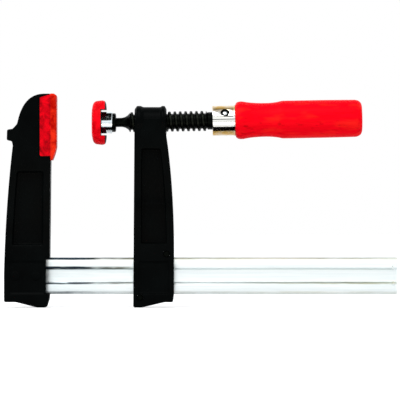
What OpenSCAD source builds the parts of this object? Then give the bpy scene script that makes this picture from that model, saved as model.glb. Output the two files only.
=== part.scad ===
// F clamp with a malleable-iron fixed jaw and sliding arm, a profiled steel rail,
// a rolled trapezoidal spindle with a swivelling pressure plate and a turned wooden handle.
//
// +X runs along the rail from the fixed jaw to the free end, +Z points away from the rail,
// Y is the thickness. The origin is the middle of the fixed pad's working face, straight
// opposite the middle of the pressure plate. Millimetres.

/* [Reach] */
// Throat, from the rail's inner edge to the middle of the pads
throat = 100; // [80:1:130]
// Gap between the two pads, as drawn
jaw_gap = 26; // [22:1:60]
// Length of rail past the fixed pad's face
rail_reach = 252; // [190:1:420]

/* [Rail] */
// Height of the rail
rail_h = 27; // [22:0.5:33]
// Thickness of the rail
rail_t = 13; // [10:0.5:16]
// Height of the groove along each side, at its mouth
groove_mouth = 11.4; // [8:0.2:14]
// Height of the groove along each side, at its floor
groove_floor = 9; // [6:0.2:11]
// Depth of the groove along each side
groove_depth = 2.2; // [1:0.1:3]
// Radius of the rail's long edges
rail_edge_r = 1.2; // [0.5:0.1:2]
// Diameter of the staked stops at the rail's free end
stake_d = 3; // [2:0.5:4]
// Height of the staked stops above the rail's side
stake_h = 0.9; // [0.7:0.1:1.5]

/* [Castings] */
// Iron on each side of the rail, in the fixed jaw and in the arm
cheek_t = 4.5; // [3.5:0.5:7]
// Width of the rims that run round the side recesses
rim_w = 5.5; // [4:0.5:7]
// Thickness of the web between the side recesses
web_t = 9; // [7:0.5:12]
// Depth of the shallow panel beside the rail
panel_depth = 1; // [0.5:0.1:1.5]
// Front to back of the fixed jaw beside the rail
jaw_depth = 33.8; // [30:0.2:40]
// Front to back of the sliding arm beside the rail
arm_depth = 30.2; // [27:0.2:38]
// Iron between the rail and the feet
foot_h = 10; // [8:0.5:14]
// Height of the fixed jaw's head above the middle of its pad
head_h = 21.3; // [18:0.1:28]
// Diameter of the pins that grip the rail in the arm
grip_pin_d = 5; // [4:0.5:6]
// Diameter of the rivets that hold the fixed jaw
rivet_d = 5; // [4:0.5:6]

/* [Spindle] */
// Crest diameter of the spindle's thread
spindle_d = 15; // [12:0.5:18]
// Pitch of the spindle's thread
pitch = 4; // [3:0.5:5]
// Depth of the spindle's thread
thread_depth = 1.8; // [1.2:0.1:2.2]
// Length of the threaded stretch
thread_l = 58; // [46:1:90]
// Diameter of the neck behind the ball
neck_d = 6.8; // [5:0.2:8]
// Diameter of the ball at the spindle's tip
ball_d = 10.8; // [9:0.2:13]
// Angle by which the spindle's bore is canted towards the rail
spindle_cant = 1; // [0:0.25:2]
// Wall of the arm's boss round the thread
boss_wall = 3.5; // [3:0.5:6]
// Length of the arm's boss
boss_l = 23.7; // [20:0.1:30]

/* [Handle] */
// Largest diameter of the handle
handle_d = 28; // [24:0.5:36]
// Diameter of the handle at its waist
waist_d = 25; // [22:0.5:32]
// Length of the handle behind the ferrule
handle_l = 94; // [75:1:130]
// Outer diameter of the ferrule
ferrule_d = 22; // [19:0.5:24]
// Length of the ferrule
ferrule_l = 17; // [13:0.5:24]
// Thickness of the ferrule's sheet
ferrule_t = 1.2; // [0.8:0.1:1.6]
// Diameter of the cross pin through ferrule, handle and tang
cross_pin_d = 3.6; // [3:0.2:5]
// Diameter of the spindle's tang inside the handle
tang_d = 9; // [7:0.5:11]

/* [Pads] */
// Thickness of the fixed pad in front of the iron
pad_t = 4.3; // [3:0.1:7]
// Height of the fixed pad
pad_h = 49.2; // [42:0.2:60]
// How far the fixed pad's working plate stands out beside the iron
pad_overhang = 2.4; // [2:0.1:4]
// Thickness of the fixed pad's side walls
pad_wall = 1.8; // [1.2:0.1:2]
// How far the side walls reach back over the iron
pad_grip = 7.9; // [6:0.1:12]
// Diameter of the pressure plate's cap
cap_d = 33; // [29:0.5:40]
// Diameter of the pressure plate's disc
plate_d = 28; // [24:0.5:34]
// Thickness of the pressure plate's disc
plate_t = 4.9; // [3.5:0.1:6]
// Thickness of the cap in front of the disc
cap_face_t = 2; // [1.5:0.1:3]
// Diameter of the pressure plate's collar
collar_d = 16; // [15:0.5:19]

/* [Fits] */
// Gap between the rail and the arm's slot at each side
slide_fit = 0.35; // [0.25:0.05:0.6]
// Gap between the rail's edges and the arm's slot
slot_fit = 0.5; // [0.4:0.05:1]
// Gap between the rail's edges and the grip pins
grip_fit = 0.15; // [0.1:0.05:0.3]
// Gap between the thread's crests and the arm's bore
thread_fit = 0.08; // [0.05:0.01:0.15]
// Gap between the ball and its socket
ball_fit = 0.15; // [0.1:0.05:0.3]

/* [Hidden] */
$fn = 64;
over = 1; // how far a cutting shape runs past what it cuts

iron = [0.06, 0.06, 0.065];
steel = [0.82, 0.83, 0.84];
black_steel = [0.10, 0.10, 0.11];
red = [0.85, 0.04, 0.05];

// Levels down the clamp
rail_top = -throat;
rail_bottom = rail_top - rail_h;
rail_mid = rail_top - rail_h / 2;
foot_z = rail_bottom - foot_h;
heel_z = foot_z + 4;

// Castings
casting_w = rail_t + 2 * cheek_t;
edge_r = 1.2; // radius of the castings' corners, seen from the side
toe_in = 0.58; // how far the fixed jaw's front leans, in degrees
pad_bottom = head_h - pad_h;
jaw_front = -pad_t;
jaw_front_low = jaw_front + (rail_top - pad_bottom) * tan(toe_in);
jaw_back = jaw_front_low - jaw_depth;
notch_d = 2.8; // depth of the notch where the rail leaves the fixed jaw

// The sliding arm stands clear of the pressure plate by the spindle's neck
plate_depth = 11.5; // from the cap's face to the middle of the ball
ball_x = jaw_gap + plate_depth;
arm_front = ball_x + 20.2;
arm_lean = 0.4; // how far the arm's front leans back, in degrees
arm_front_low = arm_front + (foot_z) * tan(arm_lean);
arm_back = arm_front_low + arm_depth;
boss_mid = arm_front + boss_l / 2;
boss_z = (boss_mid - ball_x) * tan(spindle_cant);
boss_r = spindle_d / 2 + boss_wall;
boss_collar_r = boss_r + 0.9;

// Along the spindle, measured from the middle of the ball
flare_r = 8;
neck_end = 10;
flare_end = neck_end + sqrt(flare_r * flare_r - pow(flare_r - (spindle_d - neck_d) / 2 + 0.4, 2));
thread_end = flare_end + thread_l;
ferrule_start = thread_end + 3.2;
handle_start = ferrule_start + ferrule_l;
handle_end = handle_start + handle_l;
tang_end = handle_start + 0.7 * handle_l;
blade_l = 18;
blade_w = tang_d + 5;
blade_t = 2.6;
cross_pin_at = ferrule_start + 0.55 * ferrule_l;
cross_pin_angle = 32.6; // how far the cross pin is turned up from the side
seam_angle = 4.3; // how far the ferrule's seam is turned up from the side
seam_w = 0.25;
ferrule_lip = 0.6;
ring_r = 0.55; // radius of the ball ring's wire

// Rail and its stops
rail_start = jaw_back + 0.6;
stake_x = rail_reach - 2.6;
stake_spread = groove_mouth / 2 + 0.1;

// ---------- shared shapes ----------

// Points of a smooth curve from a to c, pulled towards b
function curve(a, b, c, steps = 8) =
    [for (i = [0:steps]) let (t = i / steps) (1 - t) * (1 - t) * a + 2 * t * (1 - t) * b + t * t * c];

// Rounds the outer and inner corners of a flat outline
module soften(r) {
    offset(r) offset(-2 * r) offset(r) children();
}

// Stands a flat X-Z outline up and gives it a thickness, centred on Y = 0
module thick(t) {
    rotate([90, 0, 0]) linear_extrude(height = t, center = true) children();
}

// Turns a profile of (radius, distance) pairs round the X axis
module turned(points) {
    rotate([0, 90, 0]) rotate_extrude() polygon(points);
}

// Places a shape, drawn along +X from the middle of the ball, on the canted spindle axis
module on_spindle() {
    translate([ball_x, 0, 0]) rotate([0, -spindle_cant, 0]) children();
}

module both_sides() {
    children();
    mirror([0, 1, 0]) children();
}

// ---------- rail ----------

// Half of the rail's cross-section, from the bottom edge up, as (thickness, height) pairs
function rail_half() = let (
    t = rail_t / 2, h = rail_h / 2, r = rail_edge_r, m = groove_mouth / 2, f = groove_floor / 2
) concat(
    curve([t - r, -h], [t, -h], [t, -h + r], 4),
    [[t, -m], [t - groove_depth, -f], [t - groove_depth, f], [t, m]],
    curve([t, h - r], [t, h], [t - r, h], 4)
);

module rail_section() {
    right = rail_half();
    left = [for (i = [len(right) - 1:-1:0]) [-right[i][0], right[i][1]]];
    polygon(concat(right, left));
}

module rail() {
    color(steel) {
        difference() {
            translate([rail_start, 0, rail_mid])
                rotate([90, 0, 90]) linear_extrude(height = rail_reach - rail_start) rail_section();
            rivet_shape(rivet_front_x);
            rivet_shape(rivet_back_x);
        }
        for (side = [-1, 1], level = [-1, 1])
            translate([stake_x, side * (rail_t / 2 - over), rail_mid + level * stake_spread])
                rotate([-90 * side, 0, 0]) cylinder(d1 = stake_d, d2 = stake_d - 0.8, h = stake_h + over);
    }
}

// The space that a casting leaves for the rail
module rail_slot(from, to, side_gap, edge_gap) {
    translate([from, -rail_t / 2 - side_gap, rail_bottom - edge_gap])
        cube([to - from, rail_t + 2 * side_gap, rail_h + 2 * edge_gap]);
}

// ---------- fixed jaw ----------

lug_out = jaw_back + 2.3;
head_back = jaw_back + 10.4;
crown_x = jaw_front - 4.7;

function jaw_points() = concat(
    [
        [jaw_back, heel_z],
        [jaw_back + 9, heel_z],
        [jaw_front_low - 9, foot_z],
        [jaw_front_low - 2.5, foot_z],
        [jaw_front_low - 0.5, foot_z + 6],
        [jaw_front_low, rail_bottom + over],
        [jaw_front_low, rail_top],
        [jaw_front, pad_bottom],
        [jaw_front, head_h - 0.6]
    ],
    curve([crown_x, head_h], [head_back + 4.6, head_h], [head_back, 2]),
    [
        [head_back - 0.8, -1.2],
        [lug_out + 4, -4.8],
        [lug_out, -5.2],
        [lug_out - 0.3, -13.3],
        [lug_out + 3.4, -13.6],
        [jaw_back + 6.5, -15.2]
    ],
    curve([jaw_back + 6.5, -17], [jaw_back + 1.4, -0.6 * throat], [jaw_back, -throat - 12])
);

module jaw_outline() {
    soften(edge_r) polygon(jaw_points());
}

// The part of an outline that lies inside its rims, between two levels
module recess_outline(low, high, rim) {
    soften(2.2) intersection() {
        offset(delta = -rim) children();
        translate([-500, low]) square([1000, high - low]);
    }
}

jaw_recess_low = rail_top + 5;
jaw_recess_high = pad_bottom - 4;

module jaw_recesses() {
    both_sides() {
        translate([0, (web_t + casting_w) / 2, 0])
            thick(casting_w) recess_outline(jaw_recess_low, jaw_recess_high, rim_w) jaw_outline();
        translate([0, casting_w - panel_depth, 0])
            thick(casting_w) recess_outline(rail_bottom - 3, rail_top + 1, rim_w) jaw_outline();
    }
}

rivet_front_x = jaw_front_low - 0.3 * jaw_depth;
rivet_back_x = jaw_front_low - 0.75 * jaw_depth;
rivet_head_d = rivet_d + 2.4;
rivet_half = casting_w / 2 - panel_depth;

// A rivet across the casting, countersunk flush into both panels
module rivet_shape(x) {
    translate([x, 0, rail_mid]) rotate([90, 0, 0]) {
        cylinder(d = rivet_d, h = 2 * rivet_half, center = true);
        for (side = [0, 1])
            mirror([0, 0, side]) translate([0, 0, rivet_half - 1.2])
                cylinder(d1 = rivet_d, d2 = rivet_head_d, h = 1.2);
    }
}

module jaw_rivet_front() {
    color(iron) rivet_shape(rivet_front_x);
}

module jaw_rivet_back() {
    color(iron) rivet_shape(rivet_back_x);
}

module fixed_jaw() {
    color(iron) difference() {
        thick(casting_w) jaw_outline();
        jaw_recesses();
        rail_slot(jaw_back - over, 0, 0, 0);
        translate([jaw_front_low - notch_d, -casting_w, rail_bottom])
            cube([2 * notch_d, 2 * casting_w, rail_h]);
        rivet_shape(rivet_front_x);
        rivet_shape(rivet_back_x);
        both_sides() pad_bead();
    }
}

// ---------- fixed pad ----------

pad_half_w = casting_w / 2 + pad_overhang;
pad_back = jaw_front - pad_grip;
bead_depth = 0.7;
bead_w = 1.6;

// The bead inside a side wall, and the groove for it in the iron
module pad_bead() {
    translate([pad_back + 1.2, casting_w / 2 - bead_depth, pad_bottom + 8])
        cube([bead_w, bead_depth + pad_wall / 2, pad_h - 18]);
}

module pad_side_outline() {
    polygon([
        [pad_back, pad_bottom + 3],
        [jaw_front - 0.9, pad_bottom + 3],
        [jaw_front + over, pad_bottom + 3],
        [jaw_front + over, head_h - 1],
        [pad_back, head_h - 3.1]
    ]);
}

function pad_plate_points() = concat(
    [[jaw_front, pad_bottom], [jaw_front + 1.2, pad_bottom]],
    curve([jaw_front + 1.2, pad_bottom], [-0.6, pad_bottom + 6], [0, pad_bottom + 10.5], 6),
    curve([0, head_h - 3.4], [0, head_h], [-2.6, head_h], 6),
    [[jaw_front, head_h]]
);

module fixed_jaw_cap() {
    bevel = 1.6;
    color(red) {
        intersection() {
            thick(2 * pad_half_w) polygon(pad_plate_points());
            translate([0, 0, head_h - pad_h - over]) linear_extrude(height = pad_h + 2 * over) polygon([
                [jaw_front, -pad_half_w], [-bevel, -pad_half_w], [0, -pad_half_w + bevel],
                [0, pad_half_w - bevel], [-bevel, pad_half_w], [jaw_front, pad_half_w]
            ]);
        }
        both_sides() {
            translate([0, casting_w / 2 + pad_wall / 2, 0])
                thick(pad_wall) soften(0.4) pad_side_outline();
            pad_bead();
        }
    }
}

// ---------- sliding arm ----------

arm_top = boss_z + 2;

function arm_points() = concat(
    [
        [arm_front_low, foot_z],
        [arm_front_low + 6, foot_z],
        [arm_back - 7, heel_z],
        [arm_back - 0.7, heel_z],
        [arm_back, rail_bottom]
    ],
    curve([arm_back, 0.15 * rail_bottom + 0.85 * rail_top + 15],
          [arm_back - 0.6, -0.43 * throat], [arm_front + boss_l - 0.2, boss_z - boss_r + 1]),
    [[arm_front + boss_l - 0.4, arm_top], [arm_front, arm_top]]
);

module arm_outline() {
    soften(edge_r) polygon(arm_points());
}

function boss_profile() = [
    [0, 0], [boss_r - 1.6, 0], [boss_collar_r, 1.8], [boss_collar_r, 4.6],
    [boss_r, 6.4], [boss_r, boss_l - 4.4], [boss_collar_r, boss_l - 3.6],
    [boss_collar_r, boss_l - 1.4], [boss_r - 1.6, boss_l], [0, boss_l]
];

arm_recess_low = rail_top + 6;
arm_recess_high = boss_z - boss_r - 5;

module arm_recesses() {
    both_sides() {
        translate([0, (web_t + casting_w) / 2, 0])
            thick(casting_w) recess_outline(arm_recess_low, arm_recess_high, rim_w) arm_outline();
        translate([0, casting_w - panel_depth, 0])
            thick(casting_w) recess_outline(rail_bottom - 3, rail_top + 1, rim_w) arm_outline();
    }
}

grip_pin_half = casting_w / 2;
grip_upper = [arm_back - 5.5, rail_top + grip_fit + grip_pin_d / 2];
grip_lower = [arm_front_low + 5, rail_bottom - grip_fit - grip_pin_d / 2];

module grip_pin(at, half) {
    translate([at[0], 0, at[1]]) rotate([90, 0, 0]) cylinder(d = grip_pin_d, h = 2 * half, center = true);
}

module grip_pin_upper() {
    color(black_steel) grip_pin(grip_upper, grip_pin_half - 0.4);
}

module grip_pin_lower() {
    color(black_steel) grip_pin(grip_lower, grip_pin_half - 0.4);
}

module sliding_arm() {
    color(iron) difference() {
        union() {
            thick(casting_w) arm_outline();
            translate([arm_front, 0, boss_z]) turned(boss_profile());
        }
        arm_recesses();
        rail_slot(arm_front_low - 5, arm_back + 5, slide_fit, slot_fit);
        grip_pin(grip_upper, grip_pin_half + over);
        grip_pin(grip_lower, grip_pin_half + over);
        on_spindle() translate([arm_front - ball_x - 5, 0, 0])
            rotate([0, 90, 0]) cylinder(d = spindle_d + 2 * thread_fit, h = boss_l + 10);
    }
}

// ---------- spindle and handle ----------

function flare_points() = [
    for (i = [0:8]) let (u = neck_end + (flare_end - neck_end) * i / 8)
        [neck_d / 2 + flare_r - sqrt(flare_r * flare_r - (u - neck_end) * (u - neck_end)), u]
];

// One groove of the thread and the crest after it
flank = thread_depth * tan(15);
crest = (pitch - 2 * flank) / 2;
turns = floor(thread_l / pitch);
thread_r = spindle_d / 2;
root_r = thread_r - thread_depth;
thread_start = thread_end - turns * pitch;

function thread_points() = [
    for (i = [0:turns - 1]) let (u = thread_start + i * pitch)
        each [[thread_r, u], [thread_r, u + crest], [root_r, u + crest + flank], [root_r, u + pitch - flank]]
];

function spindle_points() = concat(
    [[0, 0], [neck_d / 2, 0]],
    flare_points(),
    thread_points(),
    [
        [root_r, thread_end], [root_r + 0.8, thread_end], [root_r + 0.8, ferrule_start],
        [tang_d / 2, ferrule_start], [tang_d / 2, tang_end], [0, tang_end]
    ]
);

// The flattened end of the tang, which stops the handle from turning on it
module blade() {
    translate([tang_end - blade_l, -blade_w / 2, -blade_t / 2]) cube([blade_l, blade_w, blade_t]);
}

module cross_pin_axis() {
    translate([cross_pin_at, 0, 0]) rotate([90 - cross_pin_angle, 0, 0]) children();
}

module spindle() {
    color(black_steel) on_spindle() difference() {
        union() {
            sphere(d = ball_d);
            turned(spindle_points());
            blade();
        }
        rotate([0, 90, 0]) rotate_extrude() translate([ball_d / 2 - ring_r + 0.05, 0]) circle(r = ring_r + 0.05);
        cross_pin_axis() cylinder(d = cross_pin_d, h = ferrule_d + 4, center = true);
    }
}

module ball_ring() {
    color(steel) on_spindle() rotate([0, 90, 0])
        rotate_extrude(angle = 330) translate([ball_d / 2 - ring_r + 0.05, 0]) circle(r = ring_r);
}

dimple_d = 6.6;
dimple_depth = 0.75 * ferrule_t;
pin_recess = 0.4; // how far the cross pin's ends lie below the ferrule's outside

module dimples() {
    cross_pin_axis() for (side = [0, 1])
        mirror([0, 0, side]) translate([0, 0, ferrule_d / 2 - dimple_depth])
            cylinder(d1 = cross_pin_d, d2 = 2 * dimple_d - cross_pin_d, h = 2 * dimple_depth);
}

module ferrule() {
    r = ferrule_d / 2;
    color(steel) on_spindle() difference() {
        turned([
            [r - ferrule_t, ferrule_start], [r - ferrule_lip, ferrule_start], [r, ferrule_start + ferrule_lip],
            [r, handle_start - 1.2], [r + 0.5, handle_start - 0.6], [r + 0.5, handle_start],
            [r - ferrule_t, handle_start]
        ]);
        dimples();
        rotate([seam_angle, 0, 0]) translate([ferrule_start - over, -ferrule_d, -seam_w / 2])
            cube([ferrule_l + 2 * over, ferrule_d, seam_w]);
        cross_pin_axis() cylinder(d = cross_pin_d, h = ferrule_d + 4, center = true);
    }
}

module cross_pin() {
    length = ferrule_d - 2 * pin_recess;
    color(steel) on_spindle() cross_pin_axis() cylinder(d = cross_pin_d, h = length, center = true);
}

function handle_points() = let (
    r = handle_d / 2, w = waist_d / 2, neck = ferrule_d / 2 - ferrule_t,
    s = handle_start, waist = s + 0.24 * handle_l, shoulder = s + 0.375 * handle_l
) concat(
    [[0, ferrule_start + 0.8], [neck, ferrule_start + 0.8], [neck, s], [r - 3.4, s]],
    curve([r - 3.2, s], [r, s + 0.2], [r, s + 4.2], 5),
    curve([r - 0.1, s + 6], [w, s + 0.13 * handle_l], [w, waist]),
    curve([w, waist], [w, s + 0.31 * handle_l], [r - 0.1, shoulder - 0.8]),
    [[r, shoulder + 0.6], [r, handle_end - 0.3 * handle_l]],
    curve([r - 0.2, handle_end - 6], [r - 0.3, handle_end - 0.2], [r - 5.6, handle_end], 6),
    [[0, handle_end + 0.2]]
);

module handle() {
    color(red) on_spindle() difference() {
        turned(handle_points());
        translate([ferrule_start - over, 0, 0]) rotate([0, 90, 0])
            cylinder(d = tang_d, h = tang_end - ferrule_start + over);
        blade();
        cross_pin_axis() cylinder(d = cross_pin_d, h = ferrule_d + 4, center = true);
    }
}

// ---------- pressure plate ----------

disc_front = -plate_depth + cap_face_t;
disc_back = disc_front + plate_t;
lip_end = 6.5;
mouth_r = neck_d / 2 + 1.5;
socket_r = ball_d / 2 + ball_fit;
channel_half = collar_d / 2 + 1.5;

module pressure_plate() {
    r = plate_d / 2;
    c = collar_d / 2;
    color(steel) translate([ball_x, 0, 0]) difference() {
        turned([
            [0, disc_front], [r - 0.8, disc_front], [r, disc_front + 0.8], [r, disc_back - 0.8],
            [r - 0.8, disc_back], [c + 1, disc_back], [c, disc_back + 1], [c, lip_end - 2.9],
            [mouth_r + 0.9, lip_end], [0, lip_end]
        ]);
        sphere(r = socket_r);
        rotate([0, 90, 0]) cylinder(r = mouth_r, h = lip_end + over);
    }
}

function cap_profile() = let (r = cap_d / 2, f = -plate_depth, b = disc_back) concat(
    [[0, f], [9.5, f]],
    curve([r - 4.9, f + 0.4], [r - 1.2, f + 0.9], [r - 0.5, f + 3.4], 6),
    [[r - 0.1, f + 6.4], [r, f + 7.9], [r - 0.4, f + 9.4]],
    curve([r - 0.4, f + 9.4], [r - 1.2, f + 10.6], [r - 4.9, f + 10.9], 4),
    [[channel_half - 2, f + 11.1], [channel_half - 2, b], [plate_d / 2, b], [plate_d / 2, disc_front], [0, disc_front]]
);

module pressure_cap() {
    color(red) translate([ball_x, 0, 0]) difference() {
        turned(cap_profile());
        translate([disc_back - 0.2, -cap_d, -channel_half]) cube([plate_depth, 2 * cap_d, 2 * channel_half]);
    }
}

// ---------- the clamp ----------

rail();
fixed_jaw();
jaw_rivet_front();
jaw_rivet_back();
fixed_jaw_cap();
sliding_arm();
grip_pin_upper();
grip_pin_lower();
ball_ring();
spindle();
ferrule();
cross_pin();
handle();
pressure_plate();
pressure_cap();
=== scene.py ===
import math

import bpy
from mathutils import Matrix, Vector


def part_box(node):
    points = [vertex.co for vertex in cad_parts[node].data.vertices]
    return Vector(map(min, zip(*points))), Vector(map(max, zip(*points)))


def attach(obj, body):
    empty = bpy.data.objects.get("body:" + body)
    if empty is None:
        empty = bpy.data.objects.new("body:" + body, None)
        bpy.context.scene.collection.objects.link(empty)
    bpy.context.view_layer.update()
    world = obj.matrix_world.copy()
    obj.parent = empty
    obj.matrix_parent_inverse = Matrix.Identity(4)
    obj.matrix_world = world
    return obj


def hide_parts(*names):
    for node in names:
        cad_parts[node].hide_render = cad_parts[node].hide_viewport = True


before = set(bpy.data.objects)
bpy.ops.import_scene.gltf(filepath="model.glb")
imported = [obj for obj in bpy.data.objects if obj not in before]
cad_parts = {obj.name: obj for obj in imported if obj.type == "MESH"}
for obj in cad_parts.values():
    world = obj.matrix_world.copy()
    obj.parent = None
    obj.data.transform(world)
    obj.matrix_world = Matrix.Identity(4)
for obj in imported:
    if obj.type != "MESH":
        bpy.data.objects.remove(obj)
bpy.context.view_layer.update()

# Pieces are modelled in millimetres and made metres when they are finished.
MM = 0.001


def box_mm(node):
    """A CAD node's lowest and highest corners, in millimetres."""
    low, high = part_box(node)
    return low / MM, high / MM


def middle_of(node):
    """A CAD node's middle in X and Z, in millimetres."""
    low, high = box_mm(node)
    return (low.x + high.x) / 2, (low.z + high.z) / 2


# ---------- sizes, from the frame ----------

rail_low, rail_high = box_mm("rail")
jaw_low, jaw_high = box_mm("fixed_jaw")
arm_low, arm_high = box_mm("sliding_arm")
pad_low, pad_high = box_mm("fixed_jaw_cap")
plate_high = box_mm("pressure_plate")[1]
cap_low, cap_high = box_mm("pressure_cap")

RAIL_TOP = -100.0
RAIL_BOTTOM = rail_low.z
RAIL_MID = (RAIL_TOP + RAIL_BOTTOM) / 2
RAIL_HALF_T = 6.5
RAIL_EDGE = 1.2
GROOVE_MOUTH = 5.7  # half heights of the groove, at its mouth and at its floor
GROOVE_FLOOR = 4.5
GROOVE_DEPTH = 2.2

CASTING_HALF = jaw_high.y
WEB_HALF = 4.5  # half of what is left between the deep panels, and the width of the rim round them
RIM = 5.5
PANEL_DEPTH = 1.0  # the shallow panels beside the rail
FOOT = jaw_low.z
HEEL = FOOT + 4.0
JAW_FOOT_WIDTH = 33.8
HEAD_FRONT = -4.3  # the fixed jaw's head, behind its pad's plate
NOTCH = 2.8  # how far the fixed jaw's front is cut back round the rail

# The pressure plate, along the spindle from the middle of the ball
COLLAR_END = 6.5
COLLAR_R = 8.0
DISC_FRONT = -9.5
DISC_BACK = DISC_FRONT + 4.9
DISC_R = 14.0

BALL = Vector((plate_high.x - COLLAR_END, 0.0, 0.0))
CANT = math.radians(1.0)
ON_SPINDLE = Matrix.Translation(BALL) @ Matrix.Rotation(-CANT, 4, "Y")

BOSS_START = 57.7
BOSS_LENGTH = 23.7
BOSS_R = 11.0
BOSS_Z = (BOSS_START + BOSS_LENGTH / 2 - BALL.x) * math.tan(CANT)
SLIDE_FIT = 0.35  # the arm's clearances on the rail: beside it, and above and below it
SLOT_FIT = 0.5

# Along the spindle, from the middle of the ball
BALL_R = 5.4
NECK_R = 3.4
NECK_END = 10.0
FLARE_R = 8.0
THREAD_R = 7.5
THREAD_DEPTH = 1.8
PITCH = 4.0
FLARE_END = NECK_END + math.sqrt(FLARE_R**2 - (FLARE_R - (THREAD_R - NECK_R) + 0.4) ** 2)
THREAD_END = FLARE_END + 58
FERRULE_START = THREAD_END + 3.2
FERRULE_LENGTH = 17
FERRULE_R = 11.0
HANDLE_START = FERRULE_START + FERRULE_LENGTH
HANDLE_LENGTH = 94
HANDLE_END = HANDLE_START + HANDLE_LENGTH
HANDLE_R = 14.0
WAIST_R = 12.5
TANG_R = 4.5
TANG_END = HANDLE_START + 0.7 * HANDLE_LENGTH
PIN_AT = FERRULE_START + 0.55 * FERRULE_LENGTH
PIN_R = 1.8
PIN_ANGLE = math.radians(32.6)
SEAM = 0.55
SEAM_ANGLE = math.radians(4.3)
CHANNEL_HALF = 9.5

# ---------- modelling ----------


def start_clean():
    """Leaves nothing selected and nothing in edit mode."""
    if bpy.context.object and bpy.context.object.mode != "OBJECT":
        bpy.ops.object.mode_set(mode="OBJECT")
    bpy.ops.object.select_all(action="DESELECT")


def only(piece):
    """Makes a piece the only one selected, and the active one."""
    start_clean()
    piece.select_set(True)
    bpy.context.view_layer.objects.active = piece


def edit(piece, what="VERT"):
    """Opens a piece in edit mode, with nothing selected."""
    only(piece)
    bpy.ops.object.mode_set(mode="EDIT")
    bpy.ops.mesh.select_mode(type=what)
    bpy.ops.mesh.select_all(action="DESELECT")


def pick_faces(piece, test):
    """In edit mode, selects the faces whose centre and normal pass a test."""
    bpy.ops.object.mode_set(mode="OBJECT")
    for face in piece.data.polygons:
        face.select = test(face.center, face.normal)
    bpy.ops.object.mode_set(mode="EDIT")
    bpy.ops.mesh.select_mode(type="FACE")


def paint(piece, material, test):
    """Gives the faces whose centre passes a test a second material."""
    piece.data.materials.append(material)
    for face in piece.data.polygons:
        if test(face.center):
            face.material_index = len(piece.data.materials) - 1


def curve(a, b, c, steps=10):
    """Points of a smooth curve from a to c, pulled towards b."""
    points = []
    for i in range(steps + 1):
        t = i / steps
        near, pull, far = (1 - t) ** 2, 2 * t * (1 - t), t * t
        points.append((near * a[0] + pull * b[0] + far * c[0], near * a[1] + pull * b[1] + far * c[1]))
    return points


def rounded(corners, steps=5):
    """Points of an outline given as (x, z, radius) corners, each with its corner rounded."""
    points = []
    count = len(corners)
    for i in range(count):
        x, z, radius = corners[i]
        here = Vector((x, z))
        before = Vector(corners[i - 1][:2]) - here
        after = Vector(corners[(i + 1) % count][:2]) - here
        if radius <= 0:
            points.append((x, z))
            continue
        half = before.angle(after) / 2
        back = min(radius / math.tan(half), 0.49 * before.length, 0.49 * after.length)
        a = here + before.normalized() * back
        c = here + after.normalized() * back
        points += curve(a, here, c, steps)
    return points


def trace(name, points, axes="xz"):
    """Draws a line from point to point by extruding one vertex along it."""
    places = []
    for u, v in points:
        places.append(Vector((u, 0, v)) if axes == "xz" else Vector((0, u, v)))
    start_clean()
    bpy.ops.mesh.primitive_plane_add(size=1)
    piece = bpy.context.object
    piece.name = name
    piece.data.name = name
    bpy.ops.object.mode_set(mode="EDIT")
    bpy.ops.mesh.select_mode(type="VERT")
    bpy.ops.mesh.select_all(action="SELECT")
    bpy.ops.mesh.merge(type="CENTER")
    bpy.ops.transform.translate(value=places[0])
    for before, here in zip(places, places[1:]):
        bpy.ops.mesh.extrude_region_move(TRANSFORM_OT_translate={"value": here - before})
    return piece


def slab(name, outline, low, high, axes="xz"):
    """A flat outline given a thickness: along Y for an X-Z outline, along X for a Y-Z one."""
    piece = trace(name, outline, axes)
    bpy.ops.object.mode_set(mode="OBJECT")
    for vertex in piece.data.vertices:
        vertex.select = len([edge for edge in piece.data.edges if vertex.index in edge.vertices]) < 2
    bpy.ops.object.mode_set(mode="EDIT")
    bpy.ops.mesh.edge_face_add()
    bpy.ops.mesh.select_all(action="SELECT")
    bpy.ops.mesh.edge_face_add()
    along = Vector((0, 1, 0)) if axes == "xz" else Vector((1, 0, 0))
    bpy.ops.transform.translate(value=along * low)
    bpy.ops.mesh.extrude_region_move(TRANSFORM_OT_translate={"value": along * (high - low)})
    outwards()
    return piece


def block(name, x, y, z):
    """A plain block, from the low and high ends that it has along X, Y and Z."""
    return slab(name, [(x[0], z[0]), (x[1], z[0]), (x[1], z[1]), (x[0], z[1])], y[0], y[1])


def outwards():
    """In edit mode, turns every face's normal outwards."""
    bpy.ops.mesh.select_all(action="SELECT")
    bpy.ops.mesh.normals_make_consistent(inside=False)
    bpy.ops.mesh.select_all(action="DESELECT")


def turned(name, profile, steps=96):
    """A solid turned round the X axis from a profile of (distance, radius) points."""
    piece = trace(name, profile)
    bpy.ops.mesh.select_all(action="SELECT")
    bpy.ops.mesh.spin(steps=steps, angle=2 * math.pi, center=(0, 0, 0), axis=(1, 0, 0))
    bpy.ops.mesh.select_all(action="SELECT")
    bpy.ops.mesh.remove_doubles(threshold=0.002)
    outwards()
    return piece


def move(piece, matrix):
    """Moves a piece and applies its place to its mesh."""
    start_clean()
    piece.matrix_world = matrix @ piece.matrix_world
    only(piece)
    bpy.ops.object.transform_apply(location=True, rotation=True, scale=True)


def lying_across(x, z, turn=math.pi / 2):
    """Lays what was turned round X across the clamp, at a place along it and a level."""
    return Matrix.Translation((x, 0, z)) @ Matrix.Rotation(turn, 4, "Z")


def modify(piece, kind, **settings):
    """Adds a modifier and applies it."""
    only(piece)
    modifier = piece.modifiers.new(kind, kind)
    for key, value in settings.items():
        setattr(modifier, key, value)
    bpy.ops.object.modifier_apply(modifier=modifier.name)


def combine(piece, other, operation):
    """Adds, cuts or keeps what is shared with another piece, which is used up."""
    modify(piece, "BOOLEAN", object=other, operation=operation, solver="EXACT")
    mesh = other.data
    bpy.data.objects.remove(other)
    bpy.data.meshes.remove(mesh)


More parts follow.
